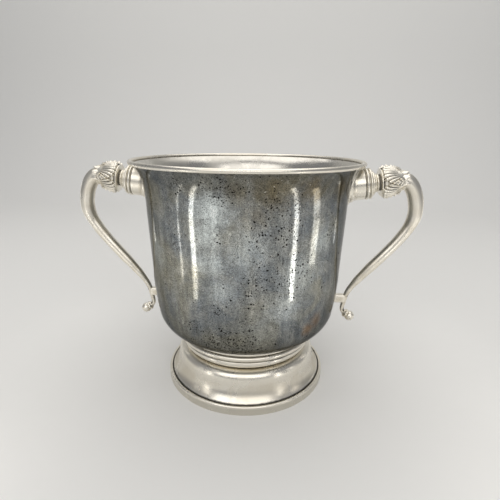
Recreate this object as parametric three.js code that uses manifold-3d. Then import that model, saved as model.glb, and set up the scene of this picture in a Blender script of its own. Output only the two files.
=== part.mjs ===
// Two-handled presentation cup on a spun foot: a silver bowl with an applied rim wire, a domed foot,
// and two cast scroll handles. Each handle springs from a reeded socket under the rim, passes through
// a leaf-worked cap, sweeps down to a small strut on the bowl and ends in a ball bud.
// Millimetres, +Z up. The cup's axis is Z, the handles lie along X, and it stands on z = 0.

import * as THREE from "three";
import { mergeVertices } from "three/addons/utils/BufferGeometryUtils.js";
import Module from "manifold-3d";

const wasm = await Module();
wasm.setup();

// ---- Driving dimensions ----
const jointGap = 0.3; // solder gap between neighbouring pieces
const roundSegments = 48; // facets round the bowl and foot
const handleSegments = 16; // facets round the handle pieces

// Bowl
const cupHeight = 184.2; // table to the top of the rim wire
const mouthRadius = 90; // outside of the rim wire
const rimWireRadius = 1.7;
const bowlWall = 1;
const flareDepth = 30; // height over which the lip turns outwards
const flareAngle = THREE.MathUtils.degToRad(44); // lip direction above the horizontal
const throatRadius = 78.7; // bowl radius where the flare starts
const waistRadius = 76.5; // bowl radius where the wall begins to round under
const waistHeight = 98;
const bellyRadius = 73.5; // bowl radius half way round the turn
const bellyHeight = 64.8;
const floorHeight = 40.8; // underside of the bowl on the axis

// Foot
const seatHeight = 43.7; // underside of the bowl where the collar starts
const seatRadius = 50;
const footRadius = 67.8;
const baseBandHeight = 6;
const baseBandWidth = 5.4;
const beadRadius = 1.4; // half-round bead on the base band
const collarRadius = 56.2;
const collarWireHeight = 43.3; // underside of the thin wire against the bowl
const collarRingBottom = 37.2;
const footShellTop = 36.9;
const footNeckRadius = 49.6;
const footNeckHeight = 28.4;
const footShoulderRadius = 58.6;
const footShoulderHeight = 22;
const footWall = 1.3;

// Handles
const socketDrop = 19.4; // rim top down to the socket axis, at the bowl's throat
const socketTilt = THREE.MathUtils.degToRad(7); // the socket axis rises outwards
const wallPlateRadius = 15.5;
const wallPlateThickness = 2.2;
const drumRadius = 12;
const drumWall = 1.6;
const drumEnd = 15.3; // distances out along the socket axis, from the throat radius
const reedsEnd = 19.6;
const neckEnd = 24.2;
const capEnd = 41.2;
const neckRadius = 7.2;
const spigotRadius = 6.2; // the neck and the grip both enter the leaf cap on this radius
const spigotDepth = 4;
const gripInsertion = 9;
const capRadius = 12.4;
const capLobes = 4;
const lobeDepth = 0.7;
const handleReach = 133; // cup axis to the grip's centre line at its widest
const bendDrop = 25; // socket height down to the widest point
const strutHeight = 69.5;
const strutLength = 10; // bowl wall to the grip's centre line
const strutRadius = 3.4;
const tailDrop = 14.1; // strut height down to the end of the tail
const tailOut = 1.9; // strut end out to the end of the tail
const tailSlope = THREE.MathUtils.degToRad(-33); // direction of the tail's straight end
const tailRadius = 1.6;
const budRadius = 4.2;
const petalRadius = 3.7;
const petalLength = 2.6;

// ---- Materials ----
function metal(color, roughness) {
  return new THREE.MeshStandardMaterial({ color, roughness, metalness: 1 });
}
const tarnishedSilver = () => metal(0x6e6f68, 0.38);
const polishedSilver = () => metal(0xd9d4c7, 0.22);
const castSilver = () => metal(0xcfc8b8, 0.3);

// ---- Solids ----
function solidFrom(geometry) {
  const bare = geometry.clone();
  bare.deleteAttribute("normal");
  bare.deleteAttribute("uv");
  const merged = mergeVertices(bare, 1e-3);
  return new wasm.Manifold(
    new wasm.Mesh({
      numProp: 3,
      vertProperties: merged.attributes.position.array,
      triVerts: new Uint32Array(merged.index.array),
    }),
  );
}

function geometryFrom(solid) {
  const mesh = solid.getMesh();
  const geometry = new THREE.BufferGeometry();
  geometry.setAttribute("position", new THREE.BufferAttribute(mesh.vertProperties, 3));
  geometry.setIndex(new THREE.BufferAttribute(mesh.triVerts, 1));
  geometry.computeVertexNormals();
  return geometry;
}

function piece(name, geometry, material) {
  const mesh = new THREE.Mesh(geometry, material);
  mesh.name = name;
  return mesh;
}

// ---- Outlines: radius in x, height in y, outside wall upwards, so that the faces point out ----
const at = (radius, height) => new THREE.Vector2(radius, height);

function bezier(start, lead, follow, end, steps) {
  return new THREE.CubicBezierCurve(start, lead, follow, end).getPoints(steps);
}

function arc(centre, radius, fromDegrees, toDegrees, steps) {
  const points = [];
  for (let i = 0; i <= steps; i++) {
    const degrees = fromDegrees + ((toDegrees - fromDegrees) * i) / steps;
    const angle = THREE.MathUtils.degToRad(degrees);
    points.push(at(centre.x + radius * Math.cos(angle), centre.y + radius * Math.sin(angle)));
  }
  return points;
}

function withoutRepeats(points) {
  return points.filter((point, i) => i === 0 || point.distanceTo(points[i - 1]) > 1e-4);
}

// The outline moved sideways by a distance: outwards when positive, inwards when negative.
function offset(points, distance) {
  return points.map((point, i) => {
    const before = points[Math.max(i - 1, 0)];
    const after = points[Math.min(i + 1, points.length - 1)];
    const along = after.clone().sub(before).normalize();
    return at(Math.max(point.x + along.y * distance, 0), point.y - along.x * distance);
  });
}

function radiusAt(points, height) {
  const i = points.findIndex((point) => point.y > height);
  const low = points[i - 1];
  const high = points[i];
  return low.x + ((high.x - low.x) * (height - low.y)) / (high.y - low.y);
}

function heightAt(points, radius) {
  const i = points.findIndex((point) => point.x > radius);
  const near = points[i - 1];
  const far = points[i];
  return near.y + ((far.y - near.y) * (radius - near.x)) / (far.x - near.x);
}

// A piece turned about the cup's axis. A ring's outline closes on itself.
function turned(outline) {
  return new THREE.LatheGeometry(withoutRepeats(outline), roundSegments).rotateX(Math.PI / 2);
}

function turnedRing(outline) {
  return turned([...outline, outline[0].clone()]);
}

// A piece turned about a path in the XZ plane: outline x is the radius, y the distance along the path.
function turnedAlong(path, outline, segments = handleSegments) {
  const geometry = new THREE.LatheGeometry(withoutRepeats(outline), segments);
  const length = path.getLength();
  const spot = geometry.attributes.position;
  for (let i = 0; i < spot.count; i++) {
    const distance = spot.getY(i);
    const share = THREE.MathUtils.clamp(distance / length, 0, 1);
    const centre = path.getPointAt(share);
    const along = path.getTangentAt(share);
    const beyond = distance - share * length;
    const sideways = spot.getX(i);
    spot.setXYZ(
      i,
      centre.x + along.x * beyond - along.z * sideways,
      spot.getZ(i),
      centre.z + along.z * beyond + along.x * sideways,
    );
  }
  return geometry;
}

function turnedRingAlong(path, outline, segments) {
  return turnedAlong(path, [...outline, outline[0].clone()], segments);
}

// ---- Bowl ----
const rimWireCentre = at(mouthRadius - rimWireRadius, cupHeight - rimWireRadius);
const lipDirection = at(Math.cos(flareAngle), Math.sin(flareAngle));
const lipMiddle = rimWireCentre.clone().addScaledVector(lipDirection, -(rimWireRadius + jointGap));
const lipOutside = at(
  lipMiddle.x + (lipDirection.y * bowlWall) / 2,
  lipMiddle.y - (lipDirection.x * bowlWall) / 2,
);
const bowlOutline = bowlOutsideOutline();

function bowlOutsideOutline() {
  const centre = at(0, floorHeight);
  const seat = at(seatRadius, seatHeight);
  const belly = at(bellyRadius, bellyHeight);
  const waist = at(waistRadius, waistHeight);
  const throat = at(throatRadius, lipOutside.y - flareDepth);
  const underTurn = at(seatRadius + 10.5, seatHeight + 2.4);
  const sideTurn = at(bellyRadius - 2, bellyHeight - 12.3);
  const bellyLead = at(bellyRadius + 1.3, bellyHeight + 8);
  const waistLead = at(waistRadius - 0.1, waistHeight - 12);
  const span = throat.y - waist.y;
  const wallLead = at(waistRadius + 0.2, waist.y + span / 4);
  const wallFollow = at(throatRadius - 0.5, throat.y - span / 3);
  const flareLead = at(throatRadius + 0.3, throat.y + flareDepth * 0.35);
  const lipLead = lipOutside.clone().addScaledVector(lipDirection, -flareDepth / 3);
  return withoutRepeats([
    ...bezier(centre, at(seatRadius * 0.4, floorHeight), at(seatRadius * 0.8, seatHeight - 2.4), seat, 3),
    ...bezier(seat, underTurn, sideTurn, belly, 6),
    ...bezier(belly, bellyLead, waistLead, waist, 3),
    ...bezier(waist, wallLead, wallFollow, throat, 3),
    ...bezier(throat, flareLead, lipLead, lipOutside, 5),
  ]);
}

function bowl() {
  const inside = offset(bowlOutline, -bowlWall).reverse();
  inside[inside.length - 1].x = 0;
  return piece("bowl", turned([...bowlOutline, ...inside]), tarnishedSilver());
}

function rimWire() {
  const section = arc(rimWireCentre, rimWireRadius, -90, 270, 10).slice(0, -1);
  return piece("rim_wire", turnedRing(section), polishedSilver());
}

// The space that handle pieces must keep out of: the bowl, filled, and its rim wire.
function bowlSpace(clearance) {
  const grown = offset(bowlOutline, clearance);
  grown[0].x = 0;
  const lip = grown[grown.length - 1];
  const top = cupHeight + clearance;
  const filled = solidFrom(turned([...grown, at(lip.x, top), at(0, top)]));
  const wireSpace = arc(rimWireCentre, rimWireRadius + clearance, -90, 270, 12).slice(0, -1);
  return filled.add(solidFrom(turnedRing(wireSpace)));
}

// ---- Foot ----
// The wire's top follows the bowl's underside, a solder gap below it.
function collarWire() {
  const inner = seatRadius + 1;
  const edge = collarRadius - 0.2;
  const underside = offset(bowlOutline, jointGap);
  const between = underside.filter((point) => point.x > inner + 0.5 && point.x < edge - 0.5);
  return piece(
    "collar_wire",
    turnedRing([
      at(inner, collarWireHeight - 0.6),
      at(collarRadius - 0.6, collarWireHeight - 0.6),
      at(collarRadius, collarWireHeight + 0.2),
      at(edge, heightAt(underside, edge)),
      ...between.reverse(),
      at(inner, heightAt(underside, inner)),
    ]),
    polishedSilver(),
  );
}

function collarRing() {
  const inner = seatRadius + 1;
  const top = collarWireHeight - 0.6 - jointGap;
  const bulge = (top - collarRingBottom) / 2;
  const middle = collarRingBottom + bulge;
  const edge = collarRadius - 1;
  return piece(
    "collar_ring",
    turnedRing([
      at(inner, collarRingBottom),
      at(edge, collarRingBottom),
      at(collarRadius, middle - bulge * 0.5),
      at(collarRadius + 0.3, middle),
      at(collarRadius, middle + bulge * 0.5),
      at(edge, top),
      at(inner, top),
    ]),
    polishedSilver(),
  );
}

// The spun foot: a rolled ring under the collar, a narrow neck, a rounded shoulder, and a hollow
// sweep out to the base band. It is open underneath.
function footShell() {
  const hem = footRadius - 2 * beadRadius - jointGap;
  const hemBottom = baseBandHeight - 0.4 + jointGap;
  const ringEdge = collarRadius - 2;
  const ringTop = at(ringEdge, footShellTop);
  const sweepFoot = at(hem, baseBandHeight + 1.2);
  const shoulder = at(footShoulderRadius, footShoulderHeight);
  const neck = at(footNeckRadius, footNeckHeight);
  const inner = [
    at(seatRadius - 0.5, footShellTop),
    at(footNeckRadius - footWall, footNeckHeight + 1.5),
    at(footNeckRadius - footWall, footNeckHeight - footWall - 0.4),
    at(footShoulderRadius - footWall - 2, footShoulderHeight + 1.5),
    at(footShoulderRadius - footWall, footShoulderHeight - 4),
    at(hem - footWall - 2.6, baseBandHeight + 3),
    at(hem - footWall, hemBottom),
  ];
  const outer = [
    at(hem, hemBottom),
    ...bezier(sweepFoot, at(hem - 3.4, sweepFoot.y + 3), at(shoulder.x + 0.2, shoulder.y - 8), shoulder, 5),
    ...bezier(shoulder, at(shoulder.x - 0.3, shoulder.y + 4), at(neck.x + 4, neck.y - 1), neck, 4),
    ...bezier(neck, at(ringEdge - 2, neck.y + 1.4), at(ringEdge + 0.8, neck.y + 4), ringTop, 4),
  ];
  return piece("foot_shell", turnedRing([...outer, ...inner]), polishedSilver());
}

function baseBand() {
  const inner = footRadius - baseBandWidth;
  const beadCentre = at(footRadius - beadRadius, baseBandHeight);
  return piece(
    "base_band",
    turnedRing([
      at(inner, 0),
      at(footRadius, 0),
      ...arc(beadCentre, beadRadius, 0, 180, 5),
      at(footRadius - 2 * beadRadius, baseBandHeight - 0.4),
      at(inner, baseBandHeight - 0.4),
    ]),
    polishedSilver(),
  );
}

// ---- Handles, drawn for the +X side ----
const flat = (x, z) => new THREE.Vector3(x, 0, z);
const socketStart = flat(throatRadius, cupHeight - socketDrop);
const socketDirection = flat(Math.cos(socketTilt), Math.sin(socketTilt));
const alongSocket = (distance) => socketStart.clone().addScaledVector(socketDirection, distance);
const socketAxis = new THREE.LineCurve3(socketStart, alongSocket(capEnd));

// The tail's last stretch is straight, so that the petal collar and the bud line up on it.
const straightTail = petalLength + jointGap;

function gripPath() {
  const start = alongSocket(capEnd - gripInsertion);
  const capExit = alongSocket(capEnd);
  const widest = flat(handleReach, capExit.z - bendDrop);
  const strutEnd = flat(radiusAt(bowlOutline, strutHeight) + strutLength, strutHeight);
  const fall = widest.z - strutEnd.z;
  const tailEnd = flat(strutEnd.x + tailOut, strutEnd.z - tailDrop);
  const tailDirection = flat(Math.cos(tailSlope), Math.sin(tailSlope));
  const curlEnd = tailEnd.clone().addScaledVector(tailDirection, -straightTail);
  const curlLead = curlEnd.clone().addScaledVector(tailDirection, -straightTail);
  const path = new THREE.CurvePath();
  path.add(new THREE.LineCurve3(start, capExit));
  path.add(
    new THREE.CubicBezierCurve3(
      capExit,
      capExit.clone().addScaledVector(socketDirection, (handleReach - capExit.x) * 0.5),
      flat(widest.x, widest.z + bendDrop * 0.6),
      widest,
    ),
  );
  path.add(
    new THREE.CubicBezierCurve3(
      widest,
      flat(widest.x, widest.z - fall * 0.3),
      flat(strutEnd.x + 1.5, strutEnd.z + fall * 0.23),
      strutEnd,
    ),
  );
  path.add(
    new THREE.CubicBezierCurve3(
      strutEnd,
      flat(strutEnd.x - 1, strutEnd.z - tailDrop * 0.4),
      curlLead,
      curlEnd,
    ),
  );
  path.add(new THREE.LineCurve3(curlEnd, tailEnd));
  return path;
}

const grip = gripPath();
const gripLength = grip.getLength();

// The grip's radius at shares of its length: thick in the bend, slimmer down the sweep, thin in the tail.
const gripThickness = [
  [0, spigotRadius],
  [gripInsertion / gripLength, spigotRadius],
  [0.19, 5.8],
  [0.28, 5.5],
  [0.38, 4.6],
  [0.5, 4.3],
  [0.64, 4.1],
  [0.74, 3.4],
  [0.82, 2.5],
  [0.88, 2],
  [1, tailRadius],
];

function gripRadiusAt(share) {
  const i = gripThickness.findIndex(([mark]) => mark > share);
  if (i < 0) return tailRadius;
  const [lowMark, low] = gripThickness[i - 1];
  const [highMark, high] = gripThickness[i];
  const t = THREE.MathUtils.smoothstep(share, lowMark, highMark);
  return THREE.MathUtils.lerp(low, high, t);
}

// One section closes the straight length inside the cap. Further sections are set wider apart in the
// sweep than in the tail's tight curl.
function gripOutline(extra) {
  const sweepStations = 20;
  const curlStations = 8;
  const [capExit, , strutEnd, curlEnd] = grip.getCurveLengths();
  const distances = [0];
  for (let i = 0; i < sweepStations; i++)
    distances.push(capExit + ((strutEnd - capExit) * i) / sweepStations);
  for (let i = 0; i <= curlStations; i++)
    distances.push(strutEnd + ((curlEnd - strutEnd) * i) / curlStations);
  const outline = [at(0, 0)];
  for (const distance of distances)
    outline.push(at(gripRadiusAt(distance / gripLength) + extra, distance));
  outline.push(at(tailRadius + extra, gripLength), at(0, gripLength));
  return outline;
}

function gripCasting(side) {
  return piece(side + "_grip", turnedAlong(grip, gripOutline(0)), castSilver());
}

// A reeded saddle plate that follows the bowl's wall.
function wallPlate(side) {
  const disc = [at(0, -6), at(wallPlateRadius, -6), at(wallPlateRadius, 14), at(0, 14)];
  const blank = solidFrom(turnedAlong(socketAxis, disc, 24));
  const shell = bowlSpace(jointGap + wallPlateThickness).subtract(bowlSpace(jointGap));
  const plate = blank.intersect(shell).decompose();
  const largest = plate.reduce((a, b) => (a.volume() > b.volume() ? a : b));
  return piece(side + "_wall_plate", geometryFrom(largest), castSilver());
}

// A plain tube between the wall plate and the reeds.
function socketDrum(side) {
  const inner = drumRadius - drumWall;
  const blank = solidFrom(
    turnedRingAlong(
      socketAxis,
      [
        at(inner, -6),
        at(drumRadius, -6),
        at(drumRadius, drumEnd - 0.6),
        at(drumRadius - 0.6, drumEnd),
        at(inner, drumEnd),
      ],
      24,
    ),
  );
  const cut = blank.subtract(bowlSpace(2 * jointGap + wallPlateThickness));
  return piece(side + "_socket_drum", geometryFrom(cut), polishedSilver());
}

// Two reeds stepping down from the drum to the neck.
function socketReeds(side) {
  const start = drumEnd + jointGap;
  const width = (reedsEnd - start) / 2;
  const big = at(drumRadius - 0.4, start + width / 2);
  const small = at(drumRadius - 2.4, start + width * 1.5);
  const outline = [
    at(0, start),
    at(big.x - 0.8, start),
    big,
    at(small.x - 0.2, start + width),
    small,
    at(small.x - 1.2, reedsEnd),
    at(0, reedsEnd),
  ];
  return piece(side + "_socket_reeds", turnedAlong(socketAxis, outline, 24), castSilver());
}

function neck(side) {
  const start = reedsEnd + jointGap;
  const bead = start + (neckEnd - start) * 0.6;
  const outline = [
    at(0, start),
    at(neckRadius + 0.4, start),
    at(neckRadius - 0.7, start + 1.3),
    at(neckRadius - 0.4, bead - 0.9),
    at(neckRadius + 0.2, bead),
    at(neckRadius - 0.4, bead + 0.9),
    at(spigotRadius, neckEnd - 0.2),
    at(spigotRadius, neckEnd + spigotDepth),
    at(0, neckEnd + spigotDepth),
  ];
  return piece(side + "_neck", turnedAlong(socketAxis, outline), castSilver());
}

// The leaf cap: a sleeve over the neck's spigot and the grip's end, swelling into four lobes.
function leafCap(side) {
  const bore = spigotRadius + jointGap;
  const start = neckEnd + 0.1;
  const length = capEnd - start;
  const profile = bezier(
    at(capRadius - 3.4, start),
    at(capRadius + 2.4, start + length * 0.1),
    at(capRadius - 0.2, start + length * 0.55),
    at(bore + 1.1, capEnd),
    7,
  );
  const geometry = turnedRingAlong(socketAxis, [at(bore, start), ...profile, at(bore, capEnd)], 32);
  const spot = geometry.attributes.position;
  const axisPoint = new THREE.Vector3();
  const outwards = new THREE.Vector3();
  for (let i = 0; i < spot.count; i++) {
    const point = new THREE.Vector3().fromBufferAttribute(spot, i);
    const distance = point.clone().sub(socketStart).dot(socketDirection);
    axisPoint.copy(alongSocket(distance));
    outwards.copy(point).sub(axisPoint);
    const radius = outwards.length();
    const swell = THREE.MathUtils.smoothstep(radius, bore + 0.5, capRadius);
    const across = Math.atan2(outwards.y, outwards.z);
    const lobe = Math.abs(Math.sin((capLobes * across) / 2)) - 0.6;
    outwards.multiplyScalar(1 + (swell * lobe * lobeDepth * 2) / radius);
    point.copy(axisPoint).add(outwards);
    spot.setXYZ(i, point.x, point.y, point.z);
  }
  return piece(side + "_leaf_cap", geometry, castSilver());
}

// A short strut that ties the grip to the bowl.
function strut(side) {
  const wallX = radiusAt(bowlOutline, strutHeight);
  const line = new THREE.LineCurve3(flat(wallX - 4, strutHeight), flat(wallX + strutLength, strutHeight));
  const length = line.getLength();
  const rod = [at(0, 0), at(strutRadius, 0), at(strutRadius, length), at(0, length)];
  const blank = solidFrom(turnedAlong(line, rod, 12));
  const gripSpace = solidFrom(turnedAlong(grip, gripOutline(jointGap)));
  const cut = blank.subtract(bowlSpace(jointGap)).subtract(gripSpace).decompose();
  const nearest = cut.reduce((a, b) => (a.volume() > b.volume() ? a : b));
  return piece(side + "_strut", geometryFrom(nearest), castSilver());
}

// Everything beyond the tail's end lies on the straight line that the tail ends along.
function tailLine() {
  const end = grip.getPointAt(1);
  const along = grip.getTangentAt(1);
  const start = end.clone().addScaledVector(along, -petalLength);
  return new THREE.LineCurve3(start, end.clone().addScaledVector(along, 2 * budRadius));
}

function petalCollar(side) {
  const facets = 12;
  const tail = gripRadiusAt(1 - straightTail / gripLength);
  const bore = (tail + jointGap) / Math.cos(Math.PI / facets);
  const outline = [
    at(bore, 0),
    at(bore + 0.7, 0),
    at(petalRadius, petalLength * 0.75),
    at(petalRadius - 0.4, petalLength),
    at(bore, petalLength),
  ];
  return piece(side + "_petal_collar", turnedRingAlong(tailLine(), outline, facets), castSilver());
}

function bud(side) {
  const start = petalLength + jointGap;
  const centre = at(0, start + budRadius * 0.86);
  const ball = arc(centre, budRadius, -59, 90, 6);
  const outline = [at(0, ball[0].y), ...ball.slice(0, -1), at(0, centre.y + budRadius)];
  return piece(side + "_bud", turnedAlong(tailLine(), outline), castSilver());
}

function handle(side, turn) {
  const group = new THREE.Group();
  const makers = [wallPlate, socketDrum, socketReeds, neck, leafCap, gripCasting, strut, petalCollar, bud];
  for (const make of makers) group.add(make(side));
  group.rotation.z = turn;
  return group;
}

// ---- Assembly ----
const cup = new THREE.Group();
cup.add(bowl(), rimWire(), collarWire(), collarRing(), footShell(), baseBand());
cup.add(handle("right", 0), handle("left", Math.PI));

export default cup;
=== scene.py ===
"""Fine model of a two-handled silver presentation cup, laid out as an add-on and run as a script."""

import math

import bmesh
import bpy
import numpy as np
from bpy.props import FloatProperty, FloatVectorProperty, PointerProperty
from bpy.types import Operator, Panel, PropertyGroup
from mathutils import Matrix, Vector


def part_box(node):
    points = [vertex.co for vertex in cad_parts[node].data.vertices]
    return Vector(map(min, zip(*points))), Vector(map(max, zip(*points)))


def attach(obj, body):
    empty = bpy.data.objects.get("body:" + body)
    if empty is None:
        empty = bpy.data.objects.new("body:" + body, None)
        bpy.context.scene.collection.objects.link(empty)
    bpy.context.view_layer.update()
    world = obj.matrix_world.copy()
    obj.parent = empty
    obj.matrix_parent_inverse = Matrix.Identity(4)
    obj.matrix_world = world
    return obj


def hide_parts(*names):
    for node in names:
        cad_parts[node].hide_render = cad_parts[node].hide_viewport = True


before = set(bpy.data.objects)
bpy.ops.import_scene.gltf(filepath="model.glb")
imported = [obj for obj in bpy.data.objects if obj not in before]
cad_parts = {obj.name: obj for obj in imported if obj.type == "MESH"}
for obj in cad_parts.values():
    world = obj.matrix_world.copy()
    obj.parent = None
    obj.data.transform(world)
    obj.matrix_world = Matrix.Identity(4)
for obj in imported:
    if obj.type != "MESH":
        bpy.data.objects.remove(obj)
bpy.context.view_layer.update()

bl_info = {
    "name": "Presentation cup",
    "version": (1, 0, 0),
    "blender": (4, 5, 0),
    "location": "3D View > Sidebar > Cup",
    "description": "Builds a two-handled silver cup with scroll handles and a moulded foot",
    "category": "Add Mesh",
}

BODY = "root"
RIM_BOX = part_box("rim_wire")
BASE_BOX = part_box("base_band")
BOWL_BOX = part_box("bowl")
GRIP_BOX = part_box("right_grip")
STRUT_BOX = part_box("right_strut")
SIDES = ("right", "left")
MM = 0.001
UP = Vector((0, 0, 1))
FRONT = Vector((0, -1, 0))


# ---- Settings that a user would change ----
def length(name, description, millimetres):
    return metres(name, description, millimetres * MM)


def metres(name, description, value):
    return FloatProperty(name=name, description=description, default=value, unit="LENGTH", precision=4)


def tint(name, description, value):
    return FloatVectorProperty(
        name=name, description=description, default=value, size=3, subtype="COLOR", min=0, max=1
    )


def share(name, description, value):
    return FloatProperty(name=name, description=description, default=value, min=0, max=1, subtype="FACTOR")


def angle(name, description, degrees):
    return FloatProperty(name=name, description=description, default=math.radians(degrees), subtype="ANGLE")


class BowlSettings(PropertyGroup):
    height: metres("Height", "Table to the top of the rim wire", RIM_BOX[1].z)
    mouth_radius: metres("Mouth radius", "Outside of the rim wire", RIM_BOX[1].x)
    wire_radius: length("Rim wire", "Radius of the rim wire", 1.7)
    wall: length("Wall", "Thickness of the sheet", 1.0)
    throat_radius: length("Throat radius", "Radius where the lip starts to turn out", 78.7)
    flare_depth: length("Flare depth", "Height over which the lip turns out", 30)
    flare_angle: angle("Flare angle", "Direction of the lip above the horizontal", 44)
    waist_radius: length("Waist radius", "Radius where the wall starts to round under", 76.5)
    waist_height: length("Waist height", "Height where the wall starts to round under", 98)
    belly_radius: length("Belly radius", "Radius half way round the turn", 73.5)
    belly_height: length("Belly height", "Height half way round the turn", 64.8)
    seat_radius: length("Seat radius", "Radius of the flat underside", 50)
    seat_height: length("Seat height", "Height of the underside at the seat radius", 43.7)
    floor_height: metres("Floor height", "Underside of the bowl on the axis", BOWL_BOX[0].z)


class FootSettings(PropertyGroup):
    radius: metres("Foot radius", "Outside of the base band", BASE_BOX[1].x)
    band_height: length("Band height", "Upright edge of the base band", 6)
    bead_radius: length("Bead", "Radius of the half-round bead", 1.4)
    collar_radius: length("Collar radius", "Outside of the collar ring", 56.2)
    neck_radius: length("Neck radius", "Narrowest part of the foot", 49.6)
    neck_height: length("Neck height", "Height of the narrowest part", 28.4)
    shoulder_radius: length("Shoulder radius", "Rounded shoulder of the foot", 58.6)
    shoulder_height: length("Shoulder height", "Height of the shoulder", 22)
    wall: length("Wall", "Thickness of the spun foot", 1.3)


class HandleSettings(PropertyGroup):
    socket_drop: length("Socket drop", "Rim top down to the socket axis at the throat", 19.4)
    socket_tilt: angle("Socket tilt", "Rise of the socket axis", 7)
    plate_radius: length("Plate radius", "Reeded plate on the bowl", 15.5)
    plate_thickness: length("Plate thickness", "Reeded plate on the bowl", 2.2)
    drum_radius: length("Drum radius", "Plain socket drum", 12)
    drum_end: length("Drum end", "End of the drum along the axis", 15.3)
    reeds_end: length("Reeds end", "End of the reeds along the axis", 19.6)
    neck_end: length("Neck end", "End of the neck along the axis", 24.2)
    neck_radius: length("Neck radius", "Turned neck", 7.2)
    cap_end: length("Cap end", "End of the leaf cap along the axis", 41.2)
    cap_radius: length("Cap radius", "Leaf cap at its widest", 12.4)
    spigot_radius: length("Spigot radius", "Grip inside the leaf cap", 6.2)
    bend_drop: length("Bend drop", "Socket height down to the widest point", 25)
    grip_radius: length("Grip radius", "Grip at the widest point of the bend", 5.6)
    strut_length: length("Strut length", "Bowl wall to the grip's centre line", 10)
    tail_drop: length("Tail drop", "Strut height down to the end of the tail", 14.1)
    tail_out: length("Tail out", "Strut end out to the end of the tail", 1.9)
    tail_slope: angle("Tail slope", "Direction of the tail's straight end", -33)
    tail_radius: length("Tail radius", "Thin end of the grip", 1.6)
    bud_radius: length("Bud radius", "Ball at the end of the tail", 4.2)
    petal_radius: length("Petal radius", "Cup of petals behind the bud", 3.7)
    petal_length: length("Petal length", "Cup of petals behind the bud", 2.6)


class FinishSettings(PropertyGroup):
    slate: tint("Slate tarnish", "Cool patches of the bowl's tarnish", (0.150, 0.165, 0.178))
    olive: tint("Olive tarnish", "Warm patches of the bowl's tarnish", (0.205, 0.198, 0.160))
    ash: tint("Ash tarnish", "Light grey patches of the bowl's tarnish", (0.330, 0.330, 0.305))
    # Pale bluish patches: painted reflections on the front of the bowl, thin tarnish bloom round the back
    bloom_and_painted_reflection: tint("Bloom", "Pale bluish bloom where the tarnish is thin", (0.520, 0.560, 0.560))
    umber: tint("Umber tarnish", "Brown film under the rim", (0.150, 0.120, 0.066))
    rust: tint("Rust stain", "Orange-brown stain low on the bowl", (0.260, 0.130, 0.045))
    pit: tint("Pits", "Black sulphide pits", (0.012, 0.011, 0.010))
    silver: tint("Silver", "Polished silver", (0.830, 0.795, 0.715))
    oxide: tint("Oxide", "Grey oxide left in grooves", (0.060, 0.055, 0.045))
    pit_cover: share("Pit cover", "How much of the bowl is pitted away from the clusters", 0.02)
    polish: share("Polish roughness", "Roughness of the polished silver", 0.24)


class StageSettings(PropertyGroup):
    camera_distance: length("Camera distance", "Cup axis to the camera, along the floor", 303.8)
    camera_height: length("Camera height", "Floor to the camera", 202.7)
    camera_azimuth: angle("Camera azimuth", "Turn of the camera round the cup", 4.43)
    camera_pitch: angle("Camera pitch", "Downward tilt", 17.02)
    camera_yaw: angle("Camera yaw", "Sideways turn", 0.53)
    camera_roll: angle("Camera roll", "Lean", 0.62)
    lens: FloatProperty(
        name="Lens", description="Focal length in millimetres", default=27.3, subtype="DISTANCE_CAMERA"
    )
    floor_tint: tint("Floor", "Pale floor and backdrop", (0.80, 0.80, 0.79))
    room_tint: tint("Room", "Light of the room", (0.25, 0.255, 0.265))


SETTINGS = {
    "cup_bowl": BowlSettings,
    "cup_foot": FootSettings,
    "cup_handle": HandleSettings,
    "cup_finish": FinishSettings,
    "cup_stage": StageSettings,
}


def settings(name):
    return getattr(bpy.context.scene, name)


# ---- Outlines: each point is (radius, distance along the axis) ----
def bezier(start, lead, follow, end, steps):
    points = []
    for i in range(steps + 1):
        t = i / steps
        weights = ((1 - t) ** 3, 3 * t * (1 - t) ** 2, 3 * t * t * (1 - t), t ** 3)
        corners = (start, lead, follow, end)
        points.append(Vector([sum(w * c[k] for w, c in zip(weights, corners)) for k in (0, 1)]))
    return points


def swept(start, lead, follow, end, steps):
    """A bezier whose two handles are given in mm from the end that each belongs to."""
    handles = [[a + b * MM for a, b in zip(*pair)] for pair in ((start, lead), (end, follow))]
    return bezier(start, *handles, end, steps)


def arc(centre, radius, from_degrees, to_degrees, steps):
    points = []
    for i in range(steps + 1):
        turn = math.radians(from_degrees + (to_degrees - from_degrees) * i / steps)
        points.append(Vector((centre[0] + radius * math.cos(turn), centre[1] + radius * math.sin(turn))))
    return points


def offset(points, distance):
    moved = []
    for i, point in enumerate(points):
        along = (points[min(i + 1, len(points) - 1)] - points[max(i - 1, 0)]).normalized()
        moved.append(Vector((max(point.x + along.y * distance, 0), point.y - along.x * distance)))
    return moved


def joined(*stretches):
    points = []
    for stretch in stretches:
        for point in stretch:
            point = Vector(point)
            if not points or (point - points[-1]).length > 1e-6:
                points.append(point)
    return points


def radius_at(points, height):
    for low, high in zip(points, points[1:]):
        if low.y <= height < high.y:
            return low.x + (high.x - low.x) * (height - low.y) / (high.y - low.y)
    raise ValueError(f"the outline has no point at height {height:.4f}")


def smoothstep(value, low, high):
    t = min(max((value - low) / (high - low), 0.0), 1.0)
    return t * t * (3 - 2 * t)


def around(azimuth, distance, height):
    """A point at an azimuth from the front, in degrees, positive to the right."""
    turn = math.radians(azimuth)
    return (distance * math.sin(turn), -distance * math.cos(turn), height)


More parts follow.
